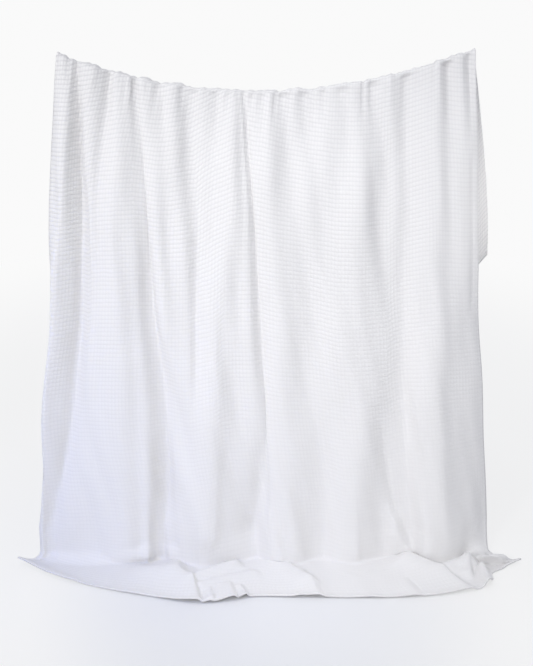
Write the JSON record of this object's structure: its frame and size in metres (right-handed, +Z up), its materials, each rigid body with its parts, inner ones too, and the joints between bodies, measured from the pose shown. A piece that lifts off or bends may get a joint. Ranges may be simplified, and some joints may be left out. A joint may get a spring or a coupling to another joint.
{
  "type": "cotton quilt",
  "caption": "White cotton quilt with fine square quilting, hung over a slack line: the long side falls in uneven folds and spreads on the floor, the short side hangs behind.",
  "frame": {"origin": "on the floor, under the middle of the quilt's box", "axes": "+X along the line to the right as seen from the front, +Y to the rear, +Z up"},
  "size_m": [1.5162, 0.4126, 1.4945],
  "materials": {
    "cotton": "matt quilted cotton"
  },
  "bodies": {
    "root": {"quilt": "cotton"}
  },
  "joints": []
}
